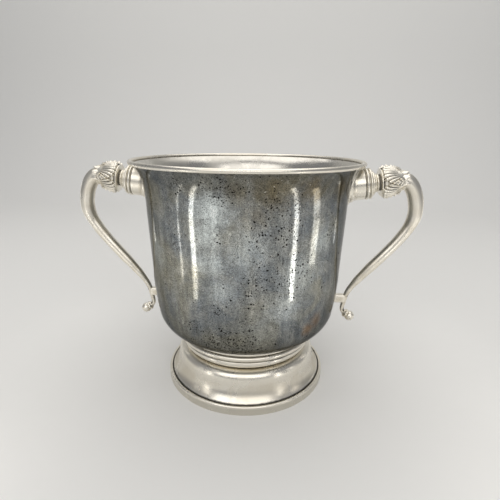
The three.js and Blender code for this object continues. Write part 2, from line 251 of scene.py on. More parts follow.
# ---- Turned pieces and routes ----
class Route:
    """A smooth path in the XZ plane, with the point and direction at each distance along it."""

    def __init__(self, points):
        self.points = [Vector(p) for p in points]
        self.marks = [0.0]
        for a, b in zip(self.points, self.points[1:]):
            self.marks.append(self.marks[-1] + (b - a).length)
        self.length = self.marks[-1]

    def at(self, distance):
        inside = min(max(distance, 0.0), self.length)
        i = min(max(int(np.searchsorted(self.marks, inside)) - 1, 0), len(self.points) - 2)
        a, b = self.points[i], self.points[i + 1]
        along = (b - a).normalized()
        before = (a - self.points[max(i - 1, 0)]).normalized() if i else along
        after = (self.points[min(i + 2, len(self.points) - 1)] - b).normalized() or along
        t = (inside - self.marks[i]) / (b - a).length
        direction = ((before + along) * (1 - t) + (along + after) * t).normalized()
        return a + (b - a) * t + direction * (distance - inside), direction


def turned(outline, steps, closed):
    """A bmesh spun about Z from an outline. A closed outline is a ring's or a shell's section."""
    bm = bmesh.new()
    verts = [bm.verts.new((p.x, 0, p.y)) for p in outline]
    edges = [bm.edges.new(pair) for pair in zip(verts, verts[1:])]
    if closed:
        edges.append(bm.edges.new((verts[-1], verts[0])))
    geom = verts + edges
    bmesh.ops.spin(bm, geom=geom, cent=(0, 0, 0), axis=UP, angle=math.tau, steps=steps, use_merge=True)
    bmesh.ops.remove_doubles(bm, verts=bm.verts, dist=1e-6)
    bmesh.ops.recalc_face_normals(bm, faces=bm.faces)
    return bm


def bend_along(bm, route):
    """Carries a piece turned about Z onto a route: its height becomes the distance along the route."""
    for vert in bm.verts:
        centre, along = route.at(vert.co.z)
        side = Vector((along.z, 0, -along.x))
        vert.co = centre + side * vert.co.x + Vector((0, vert.co.y, 0))


def mark_relief(mesh, reach, depth):
    """Stores how far each point lies below (+) or above (-) the smoothed surface, for oxide and wear."""
    count = len(mesh.vertices)
    co = np.empty(count * 3)
    normal = np.empty(count * 3)
    mesh.vertices.foreach_get("co", co)
    mesh.vertices.foreach_get("normal", normal)
    co, normal = co.reshape(-1, 3), normal.reshape(-1, 3)
    ends = np.empty(len(mesh.edges) * 2, int)
    mesh.edges.foreach_get("vertices", ends)
    ends = ends.reshape(-1, 2)
    degree = np.bincount(ends.ravel(), minlength=count).reshape(-1, 1)
    smooth = co.copy()
    for _ in range(reach):
        total = np.zeros_like(smooth)
        np.add.at(total, ends[:, 0], smooth[ends[:, 1]])
        np.add.at(total, ends[:, 1], smooth[ends[:, 0]])
        smooth = 0.5 * smooth + 0.5 * total / np.maximum(degree, 1)
    relief = np.clip(np.einsum("ij,ij->i", smooth - co, normal) / depth, -1, 1)
    attribute = mesh.attributes.new("relief", "FLOAT", "POINT")
    attribute.data.foreach_set("value", relief.astype(np.float32))


def linked(name, data):
    thing = bpy.data.objects.new(name, data)
    bpy.context.scene.collection.objects.link(thing)
    return thing


def finished(name, bm, materials, node, slot, reach=10, depth=0.12 * MM, crease=42):
    """Makes the object of a piece, marks its relief, and hides its CAD node."""
    mesh = bpy.data.meshes.new(name)
    bm.to_mesh(mesh)
    bm.free()
    for material in materials:
        mesh.materials.append(material)
    mesh.shade_smooth()
    mesh.set_sharp_from_angle(angle=math.radians(crease))
    mark_relief(mesh, reach, depth)
    piece = linked(name, mesh)
    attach(piece, BODY)
    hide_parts(node)


def finish_handle_piece(side, name, bm, node, look="cast_handles", slot="cast_silver", **relief):
    """Handle pieces are drawn on the +X side; the left one is the same piece turned half round."""
    if side == "left":
        bmesh.ops.rotate(bm, verts=bm.verts, cent=(0, 0, 0), matrix=Matrix.Rotation(math.pi, 3, "Z"))
    finished(f"{side}_{name}", bm, [material(look)], f"{side}_{node}", slot, **relief)


# ---- Shader building ----
class Nodes:
    """Adds and links nodes of one tree in short lines."""

    def __init__(self, tree):
        self.tree = tree
        tree.nodes.clear()

    def add(self, kind, options=None, **inputs):
        node = self.tree.nodes.new("ShaderNode" + kind)
        for key, value in (options or {}).items():
            setattr(node, key, value)
        for key, value in inputs.items():
            self.set(node, key.replace("_", " "), value)
        return node

    def set(self, node, key, value):
        socket = node.inputs[int(key[1:])] if key[0] == "i" and key[1:].isdigit() else node.inputs[key]
        if isinstance(value, bpy.types.Node):
            value = value.outputs[0]
        if isinstance(value, bpy.types.NodeSocket):
            self.tree.links.new(value, socket)
        elif socket.type == "RGBA":
            socket.default_value = (*value, 1.0)
        else:
            socket.default_value = value

    def math(self, operation, a, b=0.0):
        return self.add("Math", {"operation": operation}, i0=a, i1=b).outputs[0]

    def times(self, a, b):
        return self.math("MULTIPLY", a, b)

    def plus(self, a, b):
        return self.math("ADD", a, b)

    def minus(self, a, b):
        return self.math("SUBTRACT", a, b)

    def vector_math(self, operation, a, b, output="Vector"):
        return self.add("VectorMath", {"operation": operation}, i0=a, i1=b).outputs[output]

    def ramp(self, value, low, high, to_low=0.0, to_high=1.0):
        options = {"interpolation_type": "SMOOTHSTEP", "clamp": True}
        return self.add("MapRange", options, i0=value, i1=low, i2=high, i3=to_low, i4=to_high).outputs[0]

    def mix(self, factor, a, b, blend="MIX"):
        options = {"data_type": "RGBA", "blend_type": blend, "clamp_factor": True}
        return self.add("Mix", options, i0=factor, i6=a, i7=b).outputs[2]

    def layered(self, colour, *layers):
        """A colour with others laid over it, each given as how much and which."""
        for amount, over in layers:
            colour = self.mix(amount, colour, over)
        return colour

    def noise(self, vector, scale, detail=3.0, roughness=0.55, distortion=0.0):
        inputs = {"Scale": scale, "Detail": detail, "Roughness": roughness, "Distortion": distortion}
        return self.add("TexNoise", Vector=vector, **inputs).outputs[0]

    def ragged(self, vector, reach, *noise):
        """Noise that strays up to half the reach to either side of zero."""
        return self.times(self.minus(self.noise(vector, *noise), 0.5), reach)

    def stretched(self, vector, scale):
        return self.add("Mapping", Vector=vector, Scale=scale).outputs[0]


def shaded(colour, *factors):
    """A colour multiplied by one factor, or by one for each channel."""
    factors = factors * 3 if len(factors) == 1 else factors
    return [min(c * f, 1) for c, f in zip(colour, factors)]


def group_tree(build, inputs, outputs):
    tree = bpy.data.node_groups.new(build.__name__, "ShaderNodeTree")
    n = Nodes(tree)
    for label in inputs:
        kind = "NodeSocketVector" if label == "Vector" else "NodeSocketFloat"
        tree.interface.new_socket(name=label, in_out="INPUT", socket_type=kind)
    for label in outputs:
        tree.interface.new_socket(name=label, in_out="OUTPUT", socket_type="NodeSocketFloat")
    given = tree.nodes.new("NodeGroupInput")
    result = tree.nodes.new("NodeGroupOutput")
    for label, socket in zip(outputs, build(n, given.outputs)):
        n.set(result, label, socket)
    return tree


def node_group(inputs, outputs):
    """Turns a function that adds nodes into a shader node group, made once and then used again."""

    def wrap(build):
        def use(n, **given):
            tree = bpy.data.node_groups.get(build.__name__) or group_tree(build, inputs, outputs)
            return n.add("Group", {"node_tree": tree}, **given).outputs

        return use

    return wrap


@node_group(["Vector", "Scale"], ["Cloud", "Streak", "Grain"])
def mottle(n, given):
    """Cloudy patches, upright streaks and fine grain of an old surface."""
    place, size = given["Vector"], given["Scale"]
    cloud = n.noise(place, size, 5.0, 0.6, 0.6)
    streak = n.noise(n.stretched(place, (1.0, 1.0, 0.06)), n.times(size, 9.0), 3.0, 0.6)
    grain = n.noise(place, n.times(size, 62.0), 2.0, 0.7)
    return n.ramp(cloud, 0.32, 0.68), n.ramp(streak, 0.3, 0.7), n.ramp(grain, 0.3, 0.7)


@node_group(["Vector", "Scale", "Cover"], ["Pits", "Specks"])
def pits(n, given):
    """Black sulphide pits that crowd together where the cover is high, and rare bright specks."""
    place = given["Vector"]
    wobble = n.add("TexNoise", Vector=place, Scale=900.0, Detail=2.0).outputs["Color"]
    bent = n.vector_math("ADD", place, n.vector_math("MULTIPLY", wobble, (1.6 * MM,) * 3))
    cover = n.plus(n.ragged(place, 0.9, 70.0, 4.0, 0.65, 0.4), given["Cover"])
    layers = []
    for scale, rare, common in ((given["Scale"], 1.02, 1.06), (n.times(given["Scale"], 2.1), 0.90, 1.02)):
        cells = n.add("TexVoronoi", {"feature": "F1"}, Vector=bent, Scale=scale).outputs
        dice = n.add("SeparateColor", Color=cells["Color"]).outputs
        layers.append((cells["Distance"], n.ramp(n.plus(cover, dice[0]), rare, common), dice[1]))
    (coarse, big_chance, _), (fine, small_chance, speck_dice) = layers
    big = n.times(n.ramp(coarse, 0.44, 0.30), big_chance)
    small = n.times(n.ramp(fine, 0.46, 0.30), small_chance)
    specks = n.times(n.ramp(fine, 0.40, 0.20), n.ramp(speck_dice, 0.975, 0.985))
    return n.math("MAXIMUM", big, n.times(small, 0.8)), specks


@node_group(["Vector", "Oxide", "Wear"], ["Oxide", "Worn"])
def relief_wear(n, given):
    """Oxide in the recesses and rubbed crests, from the piece's own relief attribute."""
    relief = n.add("Attribute", {"attribute_name": "relief"}).outputs["Fac"]
    uneven = n.plus(relief, n.ragged(given["Vector"], 0.35, 700.0, 3.0))
    oxide = n.times(n.ramp(uneven, 0.08, 0.75), given["Oxide"])
    return oxide, n.times(n.ramp(uneven, -0.08, -0.6), given["Wear"])


@node_group(["Vector", "Scale"], ["Lines"])
def scratches(n, given):
    """Hairline scratches in two slanted families."""
    lines = []
    for turn, seed in ((0.5, 3.1), (-1.1, 8.7)):
        shift, slant = (seed, seed * 0.7, 0.0), (turn, turn * 0.6, turn)
        slanted = n.add("Mapping", Vector=given["Vector"], Location=shift, Rotation=slant).outputs[0]
        field = n.noise(n.stretched(slanted, (1.0, 0.05, 1.0)), given["Scale"], 1.0, 0.5)
        gate = n.ramp(n.noise(slanted, 60.0, 2.0), 0.5, 0.66)
        ridge = n.math("ABSOLUTE", n.minus(field, 0.5))
        lines.append(n.times(n.ramp(ridge, 0.012, 0.0), gate))
    return (n.math("MAXIMUM", *lines),)


def new_material(name):
    made = bpy.data.materials.new(name)
    made.use_nodes = True
    n = Nodes(made.node_tree)
    return made, n, n.add("TexCoord").outputs["Object"]


def principled(n, **inputs):
    n.add("OutputMaterial", Surface=n.add("BsdfPrincipled", **inputs))


def metal_shader(n, colour, roughness, height, bump, edge=(1.0, 1.0, 1.0)):
    """The metal itself. Height feeds a bump; a grey edge keeps a dull film dull at grazing angles."""
    normal = n.add("Bump", Strength=bump, Distance=0.4 * MM, Height=height)
    principled(n, Base_Color=colour, Roughness=roughness, Metallic=1.0, Normal=normal, Specular_Tint=edge)


# Places on the bowl's wall: azimuth from the front in degrees (positive to the right), height and
# radius in mm, and strength.
PIT_SPOTS = (
    (-7, 172, 10, 0.95), (3, 174, 8, 0.7), (-30, 175, 9, 0.7), (-51, 172, 6, 0.6), (-33, 134, 6, 0.8),
    (-10, 88, 5, 0.9), (6, 75, 4, 0.9), (2, 83, 4, 0.8), (-6, 68, 8, 0.8), (3, 57, 15, 0.95),
    (-26, 73, 7, 0.7), (31, 72, 4, 0.7), (40, 61, 4, 0.8), (50, 137, 5, 0.6), (20, 150, 24, 0.30),
    (24, 112, 26, 0.27), (-12, 60, 16, 0.55), (8, 108, 14, 0.36), (160, 120, 14, 0.5),
    (205, 160, 10, 0.6), (240, 75, 12, 0.5),
)
# Pale bluish patches: painted reflections on the front of the bowl, thin tarnish bloom round the back
PALE_BLOOM_AND_REFLECTION_SPOTS = (
    (-12, 158, 13, 0.95), (-14, 140, 13, 0.75), (-13, 122, 12, 0.55), (-8, 104, 12, 0.35),
    (4, 132, 16, 0.35), (32, 112, 17, 0.40), (46, 136, 10, 0.45), (-52, 120, 12, 0.35),
    (24, 90, 14, 0.35), (12, 74, 14, 0.20), (150, 150, 15, 0.6), (215, 115, 18, 0.5), (262, 150, 12, 0.4),
)
UMBER_SPOTS = (
    (16, 172, 15, 0.75), (34, 173, 13, 0.80), (56, 171, 12, 0.70), (0, 174, 10, 0.5),
    (10, 156, 10, 0.40), (-70, 105, 20, 0.5), (175, 168, 16, 0.6), (225, 60, 14, 0.6),
)
RUST_SPOTS = ((41, 68, 6, 0.55), (47, 74, 7, 0.40), (190, 64, 8, 0.5))


def spot_mask(n, place, spots):
    """Soft blots at given places on the bowl's wall, broken up by noise."""
    wall_radius = settings("cup_bowl").waist_radius
    ragged = n.ragged(place, 1.7, 110.0, 6.0, 0.72)
    mask = 0.0
    for azimuth, height, radius, strength in spots:
        away = n.vector_math("DISTANCE", place, around(azimuth, wall_radius, height * MM), "Value")
        level = n.plus(n.math("DIVIDE", away, radius * MM), ragged)
        mask = n.math("MAXIMUM", mask, n.times(n.ramp(level, 1.4, 0.1), strength))
    return mask


def bowl_tarnish():
    look = settings("cup_finish")
    made, n, place = new_material("bowl_tarnish")
    patches = mottle(n, Vector=place, Scale=24.0)
    cover = n.plus(n.times(spot_mask(n, place, PIT_SPOTS), 1.12), look.pit_cover)
    pitting = pits(n, Vector=place, Scale=600.0, Cover=cover)
    scars = scratches(n, Vector=place, Scale=420.0)["Lines"]
    colour = n.layered(
        look.slate,
        (patches["Cloud"], look.olive),
        (n.times(n.ramp(n.noise(place, 60.0, 6.0, 0.66, 0.8), 0.38, 0.72), 0.52), look.ash),
        # Pale bluish patches: painted reflection and thin tarnish bloom
        (spot_mask(n, place, PALE_BLOOM_AND_REFLECTION_SPOTS), look.bloom_and_painted_reflection),
        (spot_mask(n, place, UMBER_SPOTS), look.umber),
        (spot_mask(n, place, RUST_SPOTS), look.rust),
    )
    height = n.add("SeparateXYZ", Vector=place).outputs["Z"]
    # Tone of the tarnish: random streaks, grain and blotches, with painted shade by height laid on
    shade = n.ramp(patches["Streak"], 0.0, 1.0, 0.88, 1.16)
    grain = n.ramp(patches["Grain"], 0.1, 0.9, 0.66, 1.34)
    blotch = n.ramp(n.noise(place, 330.0, 4.0, 0.75), 0.34, 0.66, 0.88, 1.14)
    # Painted shade: darker over the flared lip, paler below it
    painted_lip_shade = n.ramp(height, 0.150, 0.178, 1.36, 0.86)
    # Painted shade: darker towards the foot
    painted_base_shade = n.ramp(height, 0.050, 0.105, 0.60, 1.0)
    for factor in (grain, blotch, painted_lip_shade, painted_base_shade):
        shade = n.times(shade, factor)
    colour = n.layered(
        n.mix(1.0, colour, shade, "MULTIPLY"),
        (n.times(scars, 0.5), shaded(look.silver, 0.6)),
        (pitting["Specks"], shaded(look.silver, 0.9)),
        (pitting["Pits"], look.pit),
    )
    film = n.ramp(patches["Cloud"], 0.0, 1.0, 0.07, 0.12)
    roughness = n.plus(film, n.times(pitting["Pits"], 0.4))
    surface = n.minus(n.times(patches["Grain"], 0.10), pitting["Pits"])
    metal_shader(n, colour, roughness, surface, 0.07, edge=(0.50, 0.50, 0.50))
    return made


def bowl_inside():
    look = settings("cup_finish")
    made, n, place = new_material("bowl_inside")
    patches = mottle(n, Vector=place, Scale=30.0)
    scars = scratches(n, Vector=place, Scale=300.0)["Lines"]
    colour = n.layered(
        shaded(look.silver, 0.86, 0.87, 0.90),
        (n.times(patches["Cloud"], 0.6), shaded(look.silver, 0.62)),
        (n.times(patches["Grain"], 0.12), look.olive),
        (n.times(scars, 0.2), look.silver),
    )
    roughness = n.ramp(patches["Cloud"], 0.0, 1.0, 0.20, 0.34)
    metal_shader(n, colour, roughness, patches["Grain"], 0.05)
    return made


def seam_dirt(n, place, height):
    """Dark lines of polish residue along the soldered seams of the collar and the base band."""
    f = settings("cup_foot")
    ragged = n.ragged(place, 0.7 * MM, 260.0, 3.0)

    def near(where, level, reach, core):
        away = n.plus(n.math("ABSOLUTE", n.minus(where, level)), ragged)
        return n.ramp(away, reach, core)

    flat = n.vector_math("MULTIPLY", place, (1.0, 1.0, 0.0))
    radial = n.vector_math("LENGTH", flat, (0, 0, 0), "Value")
    hem = near(radial, f.radius - 2 * f.bead_radius, 0.9 * MM, 0.3 * MM)
    dirt = n.times(hem, n.ramp(height, 12 * MM, 9 * MM))
    for node, reach in (("collar_wire", 0.7 * MM), ("collar_ring", 2.2 * MM)):
        dirt = n.math("MAXIMUM", dirt, near(height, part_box(node)[0].z, reach, 0.2 * MM))
    return n.times(dirt, 0.85)


def polished_mouldings():
    look = settings("cup_finish")
    band = settings("cup_foot").band_height
    made, n, place = new_material("polished_mouldings")
    patches = mottle(n, Vector=place, Scale=38.0)
    wear = relief_wear(n, Vector=place, Oxide=0.9, Wear=0.6)
    scars = scratches(n, Vector=place, Scale=380.0)["Lines"]
    dull = shaded(look.silver, 0.78, 0.73, 0.63)
    height = n.add("SeparateXYZ", Vector=place).outputs["Z"]
    # The base band's upright side and everything below it are tinted dark olive
    olive_band_side = n.ramp(height, band + 0.1 * MM, band - 1.2 * MM, 0.0, 0.72)
    colour = n.layered(
        look.silver,
        (n.times(patches["Cloud"], 0.55), dull),
        (n.times(patches["Grain"], 0.10), look.olive),
        (olive_band_side, look.olive),
        (wear["Oxide"], look.oxide),
        (wear["Worn"], shaded(look.silver, 1.08)),
        (seam_dirt(n, place, height), look.oxide),
        (n.times(scars, 0.25), dull),
    )
    base = n.ramp(patches["Cloud"], 0.0, 1.0, look.polish, look.polish + 0.09)
    roughness = n.plus(base, n.times(wear["Oxide"], 0.25))
    metal_shader(n, colour, roughness, n.minus(n.times(patches["Grain"], 0.3), scars), 0.02)
    return made


def casting(name, oxide, worn):
    look = settings("cup_finish")
    made, n, place = new_material(name)
    patches = mottle(n, Vector=place, Scale=55.0)
    wear = relief_wear(n, Vector=place, Oxide=oxide, Wear=worn)
    holes = pits(n, Vector=place, Scale=900.0, Cover=0.03)["Pits"]
    colour = n.layered(
        look.silver,
        (n.times(patches["Cloud"], 0.5), shaded(look.silver, 0.80, 0.74, 0.62)),
        (wear["Oxide"], look.oxide),
        (wear["Worn"], shaded(look.silver, 1.1)),
        (n.times(holes, 0.5), look.oxide),
    )
    base = n.ramp(patches["Cloud"], 0.0, 1.0, look.polish + 0.03, look.polish + 0.14)
    roughness = n.plus(base, n.times(wear["Oxide"], 0.3))
    metal_shader(n, colour, roughness, n.minus(n.times(patches["Grain"], 0.4), holes), 0.06)
    return made


MATERIAL_MAKERS = {
    "bowl_tarnish": bowl_tarnish,
    "bowl_inside": bowl_inside,
    "polished_mouldings": polished_mouldings,
    "cast_handles": lambda: casting("cast_handles", 0.8, 0.6),
    "chased_leaves": lambda: casting("chased_leaves", 1.0, 1.0),
}


def material(name):
    return bpy.data.materials.get(name) or MATERIAL_MAKERS[name]()


# ---- Bowl ----
TURNED_STEPS = 192


def lip():
    """The rim wire's centre, the lip's direction, and where the lip ends on the outside."""
    b = settings("cup_bowl")
    wire = Vector((b.mouth_radius - b.wire_radius, b.height - b.wire_radius))
    direction = Vector((math.cos(b.flare_angle), math.sin(b.flare_angle)))
    solder = 0.05 * MM
    middle = wire - direction * (b.wire_radius + solder)
    outside = middle + Vector((direction.y, -direction.x)) * (b.wall / 2)
    return wire, direction, outside


def bowl_outline(fineness=8):
    b = settings("cup_bowl")
    _, direction, outside = lip()
    centre = (0, b.floor_height)
    seat = (b.seat_radius, b.seat_height)
    belly = (b.belly_radius, b.belly_height)
    waist = (b.waist_radius, b.waist_height)
    throat = (b.throat_radius, outside.y - b.flare_depth)
    span = (throat[1] - waist[1]) / MM
    flare = b.flare_depth / MM
    return joined(
        swept(centre, (20, 0), (-10, -2.4), seat, 3 * fineness),
        swept(seat, (10.5, 2.4), (-2, -12.3), belly, 5 * fineness),
        swept(belly, (1.3, 8), (-0.1, -12), waist, 3 * fineness),
        swept(waist, (0.2, span / 4), (-0.5, -span / 3), throat, 4 * fineness),
        swept(throat, (0.3, flare * 0.35), -direction * flare / 3, outside, 5 * fineness),
    )


class CUP_OT_bowl(Operator):
    """Raise the bowl from one sheet, with a flared lip and a rounded bottom"""

    bl_idname = "cup.bowl"
    bl_label = "Bowl"

    def execute(self, context):
        b = settings("cup_bowl")
        outside = bowl_outline()
        inside = offset(outside, -b.wall)[::-1]
        inside[-1].x = 0
        bm = turned(joined(outside, inside), TURNED_STEPS, closed=False)
        for face in bm.faces:
            centre = face.calc_center_median()
            outward = Vector((centre.x, centre.y, 0)).normalized() - 0.3 * UP
            face.material_index = 0 if face.normal.dot(outward) > 0 else 1
        looks = [material("bowl_tarnish"), material("bowl_inside")]
        finished("raised_bowl", bm, looks, "bowl", "tarnished_silver")
        return {"FINISHED"}


class CUP_OT_rim(Operator):
    """Solder the round wire onto the lip"""

    bl_idname = "cup.rim"
    bl_label = "Rim wire"

    def execute(self, context):
        b = settings("cup_bowl")
        wire, _, _ = lip()
        bm = turned(arc(wire, b.wire_radius, -90, 270, 24)[:-1], TURNED_STEPS, closed=True)
        finished("rim_wire_bead", bm, [material("polished_mouldings")], "rim_wire", "polished_silver")
        return {"FINISHED"}


# ---- Foot ----
def collar_span(node):
    """The lowest and the highest point of a collar's CAD node, half its height, and its bore."""
    low, high = (corner.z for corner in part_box(node))
    return low, high, (high - low) / 2, settings("cup_bowl").seat_radius + 1 * MM


def collar_wire_outline():
    f = settings("cup_foot")
    low, high, half, inner = collar_span("collar_wire")
    bead = arc((f.collar_radius - half, low + half), half, -90, 90, 10)
    return joined([(inner, low)], bead, [(inner, high - 1.3 * MM)])


def collar_ring_outline():
    low, high, half, inner = collar_span("collar_ring")
    edge = settings("cup_foot").collar_radius - 3.4 * MM
    turns = np.linspace(-math.pi / 2, math.pi / 2, 19)
    bulge = [(edge + 3.7 * MM * math.cos(t) ** 0.8, low + half + half * math.sin(t)) for t in turns[1:-1]]
    return joined([(inner, low)], bulge, [(inner, high)])


def foot_outline():
    b, f = settings("cup_bowl"), settings("cup_foot")
    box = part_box("foot_shell")
    hem = f.radius - 2 * f.bead_radius - 0.1 * MM
    top = box[1].z
    sweep = (hem, f.band_height + 1.2 * MM)
    shoulder = (f.shoulder_radius, f.shoulder_height)
    neck = (f.neck_radius, f.neck_height + 1.1 * MM)
    ring = (f.collar_radius - 4.6 * MM, top)
    ring_side = (f.collar_radius - 1.9 * MM, top - 2.6 * MM)
    outer = joined(
        [(hem, box[0].z)],
        swept(sweep, (-3.4, 3), (0.9, -7), shoulder, 16),
        swept(shoulder, (-0.9, 6.2), (5, 0.4), neck, 16),
        swept(neck, (0.4, 1.4), (0.3, -3.4), ring_side, 12),
        swept(ring_side, (-0.1, 1.5), (1.6, 0), ring, 12),
    )
    inner = [
        (b.seat_radius - 0.5 * MM, top),
        (neck[0] - f.wall, f.neck_height + 1.5 * MM),
        (neck[0] - f.wall, f.neck_height - f.wall - 0.4 * MM),
        (shoulder[0] - f.wall - 2 * MM, shoulder[1] + 1.5 * MM),
        (shoulder[0] - f.wall, shoulder[1] - 4 * MM),
        (hem - f.wall - 2.6 * MM, f.band_height + 3 * MM),
        (hem - f.wall, box[0].z),
    ]
    return joined(outer, inner)


def base_band_outline():
    f = settings("cup_foot")
    inner = f.radius - 5.4 * MM
    ledge = f.band_height - 0.4 * MM
    return joined(
        [(inner, 0), (f.radius - 0.3 * MM, 0), (f.radius, 0.3 * MM)],
        arc((f.radius - f.bead_radius, f.band_height), f.bead_radius, 0, 180, 14),
        [(f.radius - 2 * f.bead_radius, ledge), (inner, ledge)],
    )


FOOT_PIECES = {
    "collar_wire": collar_wire_outline,
    "collar_ring": collar_ring_outline,
    "foot_shell": foot_outline,
    "base_band": base_band_outline,
}


class CUP_OT_foot(Operator):
    """Spin the foot and set the collar and the base band on it"""

    bl_idname = "cup.foot"
    bl_label = "Foot"

    def execute(self, context):
        for node, outline in FOOT_PIECES.items():
            bm = turned(outline(), TURNED_STEPS, closed=True)
            finished("turned_" + node, bm, [material("polished_mouldings")], node, "polished_silver")
        return {"FINISHED"}


# ---- Sockets ----
SOCKET_STEPS = 96


def socket_line():
    b, h = settings("cup_bowl"), settings("cup_handle")
    start = Vector((b.throat_radius, 0, b.height - h.socket_drop))
    direction = Vector((math.cos(h.socket_tilt), 0, math.sin(h.socket_tilt)))
    return start, direction


def along_socket(outline, steps, closed=False):
    """A piece turned about the socket's axis. Distances are from the bowl's throat."""
    bm = turned(outline, steps, closed)
    start, direction = socket_line()
    side = Vector((direction.z, 0, -direction.x))
    for vert in bm.verts:
        vert.co = start + direction * vert.co.z + side * vert.co.x + Vector((0, vert.co.y, 0))
    return bm


def reed_profile(share_out):
    """Height of the wall plate's moulding from its middle (0) to its edge (1): a flat, then reeds."""
    flat_end = 0.78
    reeds = 3
    if share_out < flat_end:
        return 1.0
    place = (share_out - flat_end) / (1 - flat_end) * reeds
    which = min(int(place), reeds - 1)
    bump = math.sqrt(max(0.0, 1 - (2 * (place - which) - 1) ** 2))
    return (0.80 - 0.20 * which) * (0.55 + 0.45 * bump)


def wall_plate(side):
    """The reeded plate, turned as a disc and then laid against the bowl's wall."""
    b, h = settings("cup_bowl"), settings("cup_handle")
    wall = bowl_outline()
    highest = b.height - 2 * b.wire_radius - 0.2 * MM
    solder = 0.15 * MM
    rings = 44
    bore_share = 0.5
    shares = [bore_share + (1 - bore_share) * i / rings for i in range(rings + 1)]
    front = [(h.plate_radius * s, reed_profile(s)) for s in shares]
    back = [(h.plate_radius, 0), (h.plate_radius * bore_share, 0)]
    bm = turned(joined(front, back), steps=128, closed=True)
    start, _ = socket_line()
    for vert in bm.verts:
        rise, across, out = -vert.co.x, vert.co.y, vert.co.z
        height = min(start.z + rise, highest)
        radius = radius_at(wall, min(height, wall[-1].y - 0.05 * MM))
        flat_x = math.sqrt(max(radius ** 2 - across ** 2, 0))
        outward = Vector((flat_x, across, 0)).normalized()
        vert.co = Vector((flat_x, across, height)) + outward * (solder + out * h.plate_thickness)
    finish_handle_piece(side, "reeded_plate", bm, "wall_plate", reach=4)


def socket_drum(side):
    """The plain drum: flared at the plate, with a groove and a bead at its outer end."""
    h = settings("cup_handle")
    radius = h.drum_radius
    inner = radius - 1.6 * MM
    bead = radius - 0.9 * MM
    outline = joined(
        [(inner, 0.5 * MM), (radius + 1.4 * MM, 0.5 * MM)],
        swept((radius + 1.4 * MM, 2.2 * MM), (-1.1, 0.8), (0, -2), (radius, 6.2 * MM), 8),
        [(radius, h.drum_end - 3.5 * MM)],
        arc((bead, h.drum_end - 1.6 * MM), 1.4 * MM, -90, 90, 12),
        [(bead, h.drum_end), (inner, h.drum_end)],
    )
    bm = along_socket(outline, SOCKET_STEPS, closed=True)
    finish_handle_piece(side, "drum", bm, "socket_drum", "polished_mouldings", "polished_silver")


def socket_reeds(side):
    """Two half-round reeds that step down from the drum to the neck."""
    h = settings("cup_handle")
    start = h.drum_end + 0.1 * MM
    width = (h.reeds_end - start) / 2
    outline = joined(
        [(0, start), (h.drum_radius - 1.2 * MM, start)],
        arc((h.drum_radius - 0.9 * MM, start + width / 2), width / 2, -90, 90, 12),
        arc((h.drum_radius - 3.3 * MM, start + width * 1.5), width / 2, -90, 90, 12),
        [(h.neck_radius, h.reeds_end), (0, h.reeds_end)],
    )
    finish_handle_piece(side, "reeds", along_socket(outline, SOCKET_STEPS), "socket_reeds", reach=5)


def neck(side):
    """The turned neck between the reeds and the leaf cap, with a bead round it."""
    h = settings("cup_handle")
    start = h.reeds_end + 0.1 * MM
    end = h.neck_end + 4 * MM
    bead = start + (h.neck_end - start) * 0.55
    waist = h.neck_radius - 0.9 * MM
    outline = joined(
        [(0, start)],
        arc((h.neck_radius - 0.2 * MM, start + 0.7 * MM), 0.7 * MM, -90, 90, 10),
        swept((waist + 0.2 * MM, start + 1.5 * MM), (-0.2, 0.3), (0, -0.2), (waist, bead - 0.9 * MM), 4),
        arc((waist, bead), 0.85 * MM, -90, 90, 10),
        [(waist - 0.2 * MM, bead + 1 * MM), (h.spigot_radius, end), (0, end)],
    )
    finish_handle_piece(side, "turned_neck", along_socket(outline, steps=80), "neck", reach=5)


class CUP_OT_sockets(Operator):
    """Set the reeded plates, drums, reeds and necks on the bowl under the rim"""

    bl_idname = "cup.sockets"
    bl_label = "Sockets"

    def execute(self, context):
        for side in SIDES:
            for make in (wall_plate, socket_drum, socket_reeds, neck):
                make(side)
        return {"FINISHED"}


# ---- Leaf caps ----
LEAVES = 4
LEAF_RIBS = 13
SEPALS = 8
FAN_HALF_ANGLE = math.radians(52)


def cap_body_radius(distance):
    """Radius of the plain sleeve under the leaves, at a distance along the socket axis."""
    h = settings("cup_handle")
    t = (distance - h.neck_end) / (h.cap_end - h.neck_end)
    near, far = h.cap_radius - 4.8 * MM, h.spigot_radius + 0.9 * MM
    points = bezier((near, 0), (h.cap_radius - 0.6 * MM, 0.06), (h.cap_radius - 1.6 * MM, 0.5), (far, 1), 24)
    return radius_at(points, min(max(t, 0.0), 0.999))


def cap_body():
    """The sleeve between the neck and the grip, with a bore and a rounded face towards the bowl."""
    h = settings("cup_handle")
    start, end = h.neck_end, h.cap_end
    bore = h.spigot_radius + 0.1 * MM
    steps = 20
    stations = [start + (end - start) * i / steps for i in range(steps + 1)]
    outer = [(cap_body_radius(station), station) for station in stations]
    border = arc((h.cap_radius - 2.4 * MM, start + 0.6 * MM), 0.6 * MM, -90, 60, 10)
    outer = [point for point in outer if point[1] > start + 1.4 * MM]
    return along_socket(joined([(bore, start)], border, outer, [(bore, end)]), SOCKET_STEPS, closed=True)


def on_cap(distance, turn, radius):
    """A point at a distance along the socket axis, at an angle round it from the top."""
    start, direction = socket_line()
    spoke = Vector((-direction.z, 0, direction.x)) * math.cos(turn) + FRONT * math.sin(turn)
    return start + direction * distance + spoke * radius


def shell_of(bm, thickness):
    """Turns a sheet laid on the cap into a closed leaf, with its faces away from the axis."""
    h = settings("cup_handle")
    middle = on_cap((h.neck_end + h.cap_end) / 2, 0, 0)
    bmesh.ops.recalc_face_normals(bm, faces=bm.faces)
    if sum(face.normal.dot(face.calc_center_median() - middle) for face in bm.faces) < 0:
        bmesh.ops.reverse_faces(bm, faces=bm.faces)
    bmesh.ops.solidify(bm, geom=bm.faces[:], thickness=thickness)
    bmesh.ops.recalc_face_normals(bm, faces=bm.faces)
    return bm


